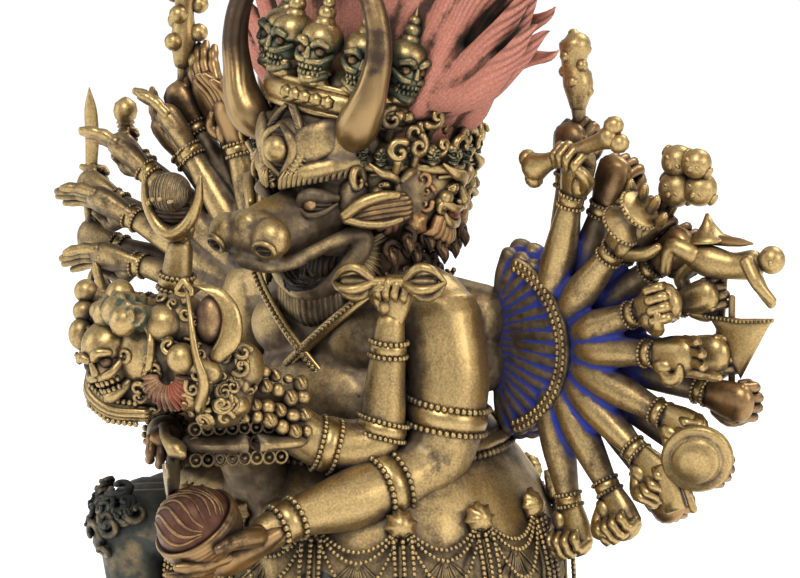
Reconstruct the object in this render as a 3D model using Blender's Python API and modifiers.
"""A cast and gilded statue of a buffalo-headed, many-armed deity embracing a consort, on a lotus base.

The deity faces -Y, +X is its left, and +Z is up. The origin is the centre of the base's underside.
Three castings make the figure: the couple with its heads and legs, and one fan of arms behind each shoulder.
"""

import math
from collections import Counter
from itertools import combinations

import bmesh
import bpy
from mathutils import Euler, Matrix, Vector

# Driving dimensions, in metres.
FIGURE_HEIGHT = 0.315
BASE_HEIGHT = 0.042
BASE_RIM = 0.019
SEAT_GAP = 0.0003
FAN_GAP = 0.0004

# The figure's pose and carving are shares of its height: one carving unit is 1 mm on the real statue.
UNITS_HIGH = 315
UNIT = FIGURE_HEIGHT / UNITS_HIGH
STANCE_WIDTH = 210
STANCE_DEPTH = 110
STANCE_MIDDLE = (16, -7)

# Where a fan meets the back of a shoulder, on a plane across X, and how the fan stands on its hub.
FAN_ROOT_X = 36
FAN_HUB = (FAN_ROOT_X + 16, 22, 157)
FAN_LAYER_STEP = 9
FAN_SWEEP_BY_SIDE = {1: 3, -1: -10}
ARMS_PER_LAYER = 8
FAN_RIBS = 9
HIGHEST_ARM_BY_LAYER = (76, 84)
LOWEST_ARM_BY_SIDE = {1: -74, -1: -50}

# The base stands out past the feet by its rim.
BASE_WIDTH = STANCE_WIDTH * UNIT + 2 * BASE_RIM
BASE_DEPTH = STANCE_DEPTH * UNIT + 2 * BASE_RIM

# How finely the castings are made: size of the remeshing grid, in units, and their budgets of faces.
# Where a skin comes out pinched along an edge, it is made again with slightly fewer faces.
GRID_COUPLE = 1.5
GRID_FAN = 1.3
FEWER_FACES = 0.995
PINCH_TRIES = 8
COUPLE_FACES = 5200
FAN_FACES = 1500

GOLD = (0.62, 0.44, 0.17, 1.0)
LEGS_PER_SIDE = 8


def clear_scene():
    for thing in list(bpy.data.objects):
        bpy.data.objects.remove(thing)


def gilt_metal():
    metal = bpy.data.materials.new("gilt_copper_alloy")
    metal.use_nodes = True
    shader = metal.node_tree.nodes["Principled BSDF"]
    shader.inputs["Base Color"].default_value = GOLD
    shader.inputs["Metallic"].default_value = 1.0
    shader.inputs["Roughness"].default_value = 0.38
    return metal


def smooth_run(points, radii, steps):
    """A Catmull-Rom curve through the points, with the radius carried along it."""
    knots = [(*p, r) for p, r in zip(points, radii)]
    first = [2 * a - b for a, b in zip(knots[0], knots[1])]
    last = [2 * a - b for a, b in zip(knots[-1], knots[-2])]
    knots = [first, *knots, last]
    run = []
    for i in range(1, len(knots) - 2):
        for step in range(steps):
            t = step / steps
            run.append(
                [
                    0.5 * (2 * b + (c - a) * t + (2 * a - 5 * b + 4 * c - d) * t * t
                           + (3 * b - a - 3 * c + d) * t ** 3)
                    for a, b, c, d in zip(*knots[i - 1:i + 3])
                ]
            )
    run.append(list(knots[-2]))
    return run


class Clay:
    """Rods and lumps that are pressed together and then cast as one closed solid."""

    def __init__(self):
        self.rods = bpy.data.curves.new("rods", "CURVE")
        self.rods.dimensions = "3D"
        self.rods.bevel_depth = 1.0
        self.rods.bevel_resolution = 2
        self.rods.use_fill_caps = True
        self.lumps = bmesh.new()
        self.place = Matrix.Identity(4)

    def limb(self, points, radii, steps=3):
        grow = self.place.median_scale
        run = smooth_run([self.place @ Vector(p) for p in points], radii, steps)
        spline = self.rods.splines.new("POLY")
        spline.points.add(len(run) - 1)
        for knot, (x, y, z, r) in zip(spline.points, run):
            knot.co = (x * UNIT, y * UNIT, z * UNIT, 1.0)
            knot.radius = max(r, 0.4) * grow * UNIT

    def ball(self, centre, size, turn=(0, 0, 0)):
        size = (size,) * 3 if isinstance(size, (int, float)) else size
        where = (
            Matrix.Scale(UNIT, 4) @ self.place @ Matrix.Translation(centre)
            @ Euler([math.radians(a) for a in turn]).to_matrix().to_4x4()
            @ Matrix.Diagonal((*size, 1.0))
        )
        bmesh.ops.create_icosphere(self.lumps, subdivisions=2, radius=1.0, matrix=where)

    def drum(self, centre, r_low, r_high, height, deep=1.0):
        """An upright tapered drum, its depth a share of its width."""
        where = (
            Matrix.Scale(UNIT, 4) @ self.place @ Matrix.Translation(centre)
            @ Matrix.Diagonal((1.0, deep, 1.0, 1.0))
        )
        bmesh.ops.create_cone(
            self.lumps, cap_ends=True, segments=32,
            radius1=r_low, radius2=r_high, depth=height, matrix=where,
        )

    def fused(self, name, grid):
        """Everything pressed together as one skin, with stray crumbs and inner bubbles dropped."""
        curve = bpy.data.objects.new("rods", self.rods)
        bpy.context.collection.objects.link(curve)
        self.lumps.from_mesh(evaluated(curve))
        mesh = bpy.data.meshes.new(name)
        self.lumps.to_mesh(mesh)
        self.lumps.free()
        bpy.data.objects.remove(curve)
        solid = bpy.data.objects.new(name, mesh)
        bpy.context.collection.objects.link(solid)
        remesh = solid.modifiers.new("fuse", "REMESH")
        remesh.mode = "VOXEL"
        remesh.voxel_size = grid * UNIT
        smooth = solid.modifiers.new("soften", "SMOOTH")
        smooth.iterations = 2
        solid.data = evaluated(solid)
        solid.modifiers.clear()
        mend_skin(solid.data)
        return solid


def evaluated(thing):
    """The object's mesh as its modifiers leave it."""
    graph = bpy.context.evaluated_depsgraph_get()
    return bpy.data.meshes.new_from_object(thing.evaluated_get(graph))


def has_pinch(mesh):
    """Whether two parts of the skin, cut into triangles, meet along one edge."""
    mesh.calc_loop_triangles()
    uses = Counter(
        frozenset(pair) for triangle in mesh.loop_triangles for pair in combinations(triangle.vertices, 2)
    )
    return any(count != 2 for count in uses.values())


def mend_skin(mesh):
    """Cuts a remeshed skin into triangles, mends its pinched spots and drops loose crumbs and bubbles."""
    cage = bmesh.new()
    cage.from_mesh(mesh)
    bmesh.ops.triangulate(cage, faces=cage.faces[:])
    pinched = {vertex for edge in cage.edges if not edge.is_manifold for vertex in edge.verts}
    bmesh.ops.delete(cage, geom=list(pinched), context="VERTS")
    rim = [edge for edge in cage.edges if edge.is_boundary]
    patches = bmesh.ops.holes_fill(cage, edges=rim)["faces"]
    bmesh.ops.triangulate(cage, faces=patches)
    strays = [vertex for shell in shells_of(cage)[:-1] for vertex in shell]
    bmesh.ops.delete(cage, geom=strays, context="VERTS")
    cage.to_mesh(mesh)
    cage.free()


def shells_of(cage):
    """The sets of vertices that hang together, the largest last."""
    unseen = set(cage.verts)
    shells = []
    while unseen:
        shell, front = set(), [unseen.pop()]
        while front:
            vertex = front.pop()
            shell.add(vertex)
            for link in vertex.link_edges:
                other = link.other_vert(vertex)
                if other in unseen:
                    unseen.remove(other)
                    front.append(other)
        shells.append(shell)
    return sorted(shells, key=len)


def thin_out(solid, faces):
    """Leaves a mesh with about that many triangles."""
    decimate = solid.modifiers.new("facets", "DECIMATE")
    decimate.ratio = faces / len(solid.data.polygons)
    skin = evaluated(solid)
    for _ in range(PINCH_TRIES):
        if not has_pinch(skin):
            break
        decimate.ratio *= FEWER_FACES
        skin = evaluated(solid)
    solid.data = skin
    solid.modifiers.clear()


def head_place(centre, facing=0.0, nod=0.0, size=1.0):
    """Where a head sits: its own -Y is its face, turned about Z by facing and dipped by nod, in degrees."""
    return (
        Matrix.Translation(centre)
        @ Matrix.Rotation(math.radians(facing), 4, "Z")
        @ Matrix.Rotation(math.radians(nod), 4, "X")
        @ Matrix.Scale(size, 4)
    )


def skull(clay, centre, size):
    x, y, z = centre
    clay.ball((x, y, z + 1.0 * size), (5.4 * size, 5.2 * size, 5.6 * size))
    clay.ball((x, y - 2.0 * size, z - 4.2 * size), (3.4 * size, 3.0 * size, 3.2 * size))
    clay.limb([(x, y, z + 5 * size), (x, y, z + 11 * size)], [2.2 * size, 0.5 * size])


def small_head(clay):
    """A wrathful head with a crown of skulls, 10 units in radius."""
    clay.ball((0, 0, 0), (9, 9.5, 10))
    clay.ball((0, -3, -6), (6.5, 6.5, 5.5))
    clay.ball((0, -10, -1), (2.4, 2.4, 2.6))
    for side in (1, -1):
        clay.limb([(1.5 * side, -9.5, 3.5), (6.5 * side, -7, 6.5)], [1.6, 1.3])
        clay.ball((9.5 * side, 0.5, -2), (2.2, 2.6, 5))
    for k in range(-2, 3):
        a = math.radians(k * 34)
        skull(clay, (9.5 * math.sin(a), -8.5 * math.cos(a), 11), 0.52)


def buffalo_head(clay):
    """The chief head. Its origin is between the eyes and the ears; the muzzle points along -Y."""
    clay.ball((0, 2, 3), (21, 21, 21))
    clay.limb([(0, -8, 0), (0, -22, -6), (0, -33, -9)], [19, 15.5, 12.5])
    clay.ball((0, -35, -9.5), (15, 8, 9.5))
    clay.ball((0, -19, 15), (8, 6, 8))
    clay.limb([(0, 0, -19), (0, -9, -28), (0, -15, -30)], [14, 10, 7])
    for side in (1, -1):
        clay.ball((8.4 * side, -40, -7), (6.2, 5, 5.8))
        clay.limb([(1 * side, -23, 7), (9 * side, -21, 12), (20 * side, -10, 15)], [3.6, 4.6, 2.6])
        clay.ball((11.5 * side, -19, 3), (4.4, 4, 4.2))
        clay.limb([(10 * side, -36, -17), (15 * side, -22, -14), (18 * side, -7, -9)], [2.4, 3, 4])
        clay.limb([(18 * side, -7, -10), (16 * side, -6, -20), (8 * side, -16, -29)], [5, 5, 3.6])
        clay.ball((25 * side, 4, 0), (3, 6, 10), (0, 24 * side, 0))


def horns(clay):
    for side in (1, -1):
        clay.limb(
            [(20 * side, -1, 16), (26.5 * side, -2, 27), (29.5 * side, -2, 41), (25 * side, -1, 55),
             (15 * side, 0, 64), (5 * side, 1, 67)],
            [7, 6.2, 5.4, 4.4, 3.2, 1.2],
        )


def crown(clay):
    """The band across the brow and its five skulls, in the buffalo head's own place."""
    for k in range(-6, 6):
        a, b = math.radians(k * 13), math.radians(k * 13 + 13)
        arc = [(23 * math.sin(t), 1 - 22 * math.cos(t), 25) for t in (a, (a + b) / 2, b)]
        clay.limb(arc, [4.6] * 3, 1)
    clay.ball((0, 2, 28), (21, 20, 10))
    for k in range(-2, 3):
        a = math.radians(k * 31)
        clay.limb(
            [(23 * math.sin(a), 2 - 22 * math.cos(a), 27), (25 * math.sin(a), 2 - 24 * math.cos(a), 40)], [4, 4.6]
        )
        skull(clay, (25 * math.sin(a), 2 - 24 * math.cos(a), 43 - abs(k)), 1.2)


def flame_hair(clay):
    """Hair that stands up like fire: a broad fan with pointed tongues along its edge."""
    clay.ball((0, 8, 240), (31, 14, 34))
    clay.ball((0, 8, 266), (46, 10, 26))
    for layer, (y, reach) in enumerate(((4, 1.0), (13, 0.9))):
        for k in range(-4, 5):
            a = math.radians(k * 17 + 7 * layer)
            lean = math.sin(a)
            length = reach * (86 - 5 * abs(k))
            root = (16 * lean, y, 222)
            middle = (0.62 * length * lean, y + 2, 222 + 0.62 * length * math.cos(a))
            tip = (length * 1.02 * lean, y + 5, 222 + length * math.cos(a) + 3)
            clay.limb([root, middle, tip], [12, 9.5, 1.2])


def heads(clay):
    clay.place = head_place((0, -16, 207), 0, 8)
    buffalo_head(clay)
    horns(clay)
    crown(clay)
    for side in (1, -1):
        for turn, rise, size in ((66, 0, 1.15), (106, 1, 1.12), (148, 3, 1.0)):
            a = math.radians(turn)
            centre = (30 * math.sin(a) * side, 2 - 30 * math.cos(a), 199 + rise)
            clay.place = head_place(centre, turn * side, 6, size)
            small_head(clay)
    clay.place = head_place((0, -2, 272), 0, 8, 1.0)
    small_head(clay)
    clay.place = head_place((0, 4, 298), 0, 0, 0.62)
    small_head(clay)
    clay.limb([(0, 0, 8), (0, 0, 20), (0, 0, 26)], [6, 3.2, 1.0])
    clay.place = Matrix.Identity(4)
    flame_hair(clay)


def torso(clay):
    clay.ball((0, -2, 158), (33, 19, 22))
    clay.ball((0, -6, 140), (31, 23, 20))
    clay.limb([(0, 4, 168), (0, -4, 190)], [17, 17])
    for rise in (-7, 7):
        ends = [(side * (FAN_ROOT_X - 3), 22, FAN_HUB[2] + rise) for side in (1, -1)]
        clay.limb([ends[0], (0, 14, FAN_HUB[2] + rise), ends[1]], [10, 14, 10])
    for side in (1, -1):
        clay.limb([(12 * side, 0, 172), (32 * side, -1, 167)], [13, 12.5])


def chief_arms(clay):
    """The two arms that hold the chopper and the skull cup before the consort's back."""
    clay.limb(
        [(35, -2, 167), (40, -4, 147), (37, -10, 124), (32, -34, 119), (27, -52, 117), (22, -64, 112)],
        [12, 11.6, 11.4, 9.6, 6, 6.5],
    )
    clay.limb(
        [(-35, -2, 167), (-42, -5, 147), (-41, -14, 126), (-31, -38, 128), (-21, -56, 133), (-13, -66, 136)],
        [12, 11.6, 11.4, 9.6, 6, 6.5],
    )
    clay.limb([(24, -62, 112), (20, -74, 106), (10, -82, 105)], [5, 4, 2.6])
    clay.ball((13, -78, 117), (12, 12, 11))
    clay.limb([(-14, -64, 140), (-4, -74, 139), (6, -79, 137)], [4, 3.4, 3])
    clay.ball((2, -76, 128), (3, 8, 9), (20, 0, 30))


def consort(clay):
    clay.limb([(0, -36, 108), (1, -46, 124), (2, -52, 138), (1, -60, 150)], [15, 11.5, 12.5, 6.5])
    clay.limb([(13, -46, 142), (-12, -49, 143)], [7, 7])
    clay.limb([(13, -46, 141), (22, -36, 133), (31, -25, 134), (32, -22, 152), (33, -21, 168)],
              [7, 7.2, 7.4, 6.2, 4.4])
    clay.ball((36, -20, 177), (6, 6, 7))
    clay.limb([(22, -27, 178), (36, -22, 180), (55, -12, 181)], [5, 3, 4])
    clay.ball((22, -34, 170), (13, 6, 3.5), (0, 15, 30))
    clay.limb([(-12, -49, 143), (-22, -53, 152), (-20, -55, 168), (-17, -55, 188)], [7, 7, 6, 4.2])
    clay.ball((-16, -55, 195), (6, 6, 7))
    clay.ball((-16, -55, 204), (7.6, 7.6, 7.6))
    clay.limb([(-7, -38, 110), (-36, -30, 112), (-46, -10, 118)], [13, 10, 7])
    clay.limb([(8, -38, 108), (26, -44, 74), (58, -54, 42), (88, -58, 14)], [13, 10, 7.5, 5])
    clay.place = head_place((0, -72, 163), 8, -72, 1.4)
    small_head(clay)
    clay.place = Matrix.Identity(4)


def skirt(clay):
    """The bell of hides and bone ornaments over the hips."""
    rings = ((142, 32), (131, 41), (115, 54), (94, 61), (80, 62))
    for (z_high, r_high), (z_low, r_low) in zip(rings, rings[1:]):
        clay.drum((0, 3, (z_high + z_low) / 2), r_low, r_high, z_high - z_low + 0.6, 0.92)


def legs(clay):
    """Eight bent legs on the right, eight stretched out on the left, each on a prone creature."""
    for k in range(LEGS_PER_SIDE):
        share = k / (LEGS_PER_SIDE - 1)
        a = math.radians(-50 + 92 * share)
        out, back = math.cos(a), math.sin(a)
        hip = (-24 * out, 26 * back, 100)
        knee = (-70 * out, 64 * back, 102 - 10 * share)
        shin = (-62 * out, 61 * back, 56)
        ankle = (-54 * out - 8, 58 * back, 20)
        toe = (-54 * out - 22, 58 * back - 4, 13)
        clay.limb([hip, knee], [13, 10.5])
        clay.limb([knee, shin, ankle], [10.5, 8.5, 5.2])
        clay.limb([ankle, toe], [5.4, 4])
        clay.limb([(ankle[0] + 12, ankle[1], 4), (toe[0] - 4, toe[1], 5)], [6.4, 5.6])
        clay.ball((toe[0] - 9, toe[1], 8), 5.6)
    for k in range(LEGS_PER_SIDE):
        share = k / (LEGS_PER_SIDE - 1)
        y = -46 + 88 * share
        bow = 8 * math.cos(math.pi * (share - 0.5))
        hip, knee = (22, 0.8 * y, 92), (58 + bow, y, 56)
        ankle, toe = (84 + bow, y, 20), (100 + bow, y - 3, 13)
        clay.limb([hip, knee], [14, 9])
        clay.limb([knee, ankle], [9, 5.2])
        clay.limb([ankle, toe], [5.4, 4])
        clay.limb([(ankle[0] - 12, y, 4), (toe[0] + 2, y, 5)], [6.4, 5.6])
        clay.ball((toe[0] + 7, y, 8), 5.6)


def cut_at_ground(mesh):
    """Cuts off what reaches below the figure's ground and closes the cut with a flat face."""
    cage = bmesh.new()
    cage.from_mesh(mesh)
    everything = cage.verts[:] + cage.edges[:] + cage.faces[:]
    bmesh.ops.bisect_plane(
        cage, geom=everything, dist=1e-7, plane_co=(0, 0, 0), plane_no=(0, 0, -1), clear_outer=True
    )
    rim = [edge for edge in cage.edges if edge.is_boundary]
    bmesh.ops.triangle_fill(cage, edges=rim, use_beauty=True, normal=(0, 0, -1))
    cage.to_mesh(mesh)
    cage.free()


def make_couple(metal):
    clay = Clay()
    torso(clay)
    heads(clay)
    chief_arms(clay)
    consort(clay)
    skirt(clay)
    legs(clay)
    solid = clay.fused("couple", GRID_COUPLE)
    thin_out(solid, COUPLE_FACES)
    cut_at_ground(solid.data)
    stand_on_base(solid, metal)


def fan_point(side, layer, angle, reach):
    """A point in a fan: an angle above the level and a distance from its hub, swept back from the shoulder."""
    a, sweep = math.radians(angle), math.radians(FAN_SWEEP_BY_SIDE[side])
    out = reach * math.cos(a)
    return (
        side * (FAN_HUB[0] + out * math.cos(sweep)),
        FAN_HUB[1] + FAN_LAYER_STEP * layer + out * math.sin(sweep),
        FAN_HUB[2] + reach * math.sin(a),
    )


def fan_root(side, layer, angle):
    """Where an arm of the fan springs from its root plane: the arms stand above each other there, close set."""
    return (side * (FAN_ROOT_X + FAN_GAP / UNIT), FAN_HUB[1] + 3 * layer, FAN_HUB[2] + 0.16 * angle)


def implement(clay, k, here, there, beyond):
    """What a hand of the fan holds: staffs, blades, balls and skull cups in turn."""
    kind = k % 4
    if kind == 0:
        clay.limb([here, there, beyond], [2.2, 3.6, 1.2])
    elif kind == 1:
        clay.limb([here, there], [2, 2.4])
        clay.ball(there, 6)
    elif kind == 2:
        clay.limb([here, there, beyond], [3.4, 4.4, 3.4])
    else:
        clay.ball(there, (7, 4.5, 7))


def make_fan(name, side, metal):
    """One fan: two layers of arms on a ribbed web, with a hand and an implement on each."""
    clay = Clay()
    lowest = LOWEST_ARM_BY_SIDE[side]
    for layer in range(2):
        for k in range(ARMS_PER_LAYER):
            highest = HIGHEST_ARM_BY_LAYER[layer]
            angle = highest + (lowest + 14 * layer - highest) * k / (ARMS_PER_LAYER - 1)
            wrist = 46 + 12 * layer
            clay.limb(
                [fan_root(side, layer, angle), fan_point(side, layer, angle, 18),
                 fan_point(side, layer, angle, 34), fan_point(side, layer, angle, wrist),
                 fan_point(side, layer, angle, wrist + 8)],
                [4.6, 5.4, 5.4, 3.6, 4],
            )
            clay.ball(fan_point(side, layer, angle, wrist + 8), (6, 5.4, 6))
            lean = -math.copysign(3, angle)
            implement(
                clay, k + layer,
                fan_point(side, layer, angle, wrist + 6),
                fan_point(side, layer, angle + lean, wrist + 17),
                fan_point(side, layer, angle + 2 * lean, wrist + 29 - 8 * layer),
            )
    for k in range(FAN_RIBS):
        angle = HIGHEST_ARM_BY_LAYER[0] + (lowest - HIGHEST_ARM_BY_LAYER[0]) * k / (FAN_RIBS - 1)
        clay.limb([fan_root(side, 0.5, angle), fan_point(side, 0.5, angle, 24)], [5.5, 5])
    solid = clay.fused(name, GRID_FAN)
    thin_out(solid, FAN_FACES)
    stand_on_base(solid, metal)


def stand_on_base(solid, metal):
    shift = (-STANCE_MIDDLE[0] * UNIT, -STANCE_MIDDLE[1] * UNIT, BASE_HEIGHT + SEAT_GAP)
    solid.data.transform(Matrix.Translation(shift))
    solid.data.materials.clear()
    solid.data.materials.append(metal)


def make_base(metal):
    """An oval lotus: a plain foot, a row of hanging petals, a waist, a row of standing petals and a rim."""
    around = 72
    petals = 18
    # Each level is a share of the height, a share of the half width and how far its petals swell.
    levels = (
        (0.0, 0.965, 0.0), (0.07, 0.965, 0.0), (0.11, 0.975, 0.035), (0.30, 0.97, 0.05),
        (0.46, 0.88, 0.01), (0.56, 0.88, 0.01), (0.78, 0.95, 0.045), (0.90, 0.95, 0.02),
        (0.93, 0.94, 0.0), (1.0, 0.93, 0.0),
    )
    cage = bmesh.new()
    rings = []
    for height, share, swell in levels:
        ring = []
        for i in range(around):
            a = 2 * math.pi * i / around
            lobe = 1 - abs(math.sin(petals * a / 2))
            r = share + swell * (0.6 - lobe)
            ring.append(
                cage.verts.new(
                    (0.5 * BASE_WIDTH * r * math.cos(a), 0.5 * BASE_DEPTH * r * math.sin(a),
                     height * BASE_HEIGHT)
                )
            )
        rings.append(ring)
    for low, high in zip(rings, rings[1:]):
        for i in range(around):
            j = (i + 1) % around
            cage.faces.new((low[i], low[j], high[j], high[i]))
    cage.faces.new(rings[0][::-1])
    cage.faces.new(rings[-1])
    mesh = bpy.data.meshes.new("lotus_base")
    cage.to_mesh(mesh)
    cage.free()
    mesh.materials.append(metal)
    base = bpy.data.objects.new("lotus_base", mesh)
    bpy.context.collection.objects.link(base)


def main():
    clear_scene()
    metal = gilt_metal()
    statue = bpy.data.collections.new("yamantaka_statue")
    bpy.context.scene.collection.children.link(statue)
    bpy.context.view_layer.active_layer_collection = (
        bpy.context.view_layer.layer_collection.children[statue.name]
    )
    make_base(metal)
    make_couple(metal)
    make_fan("left_arm_fan", 1, metal)
    make_fan("right_arm_fan", -1, metal)


main()
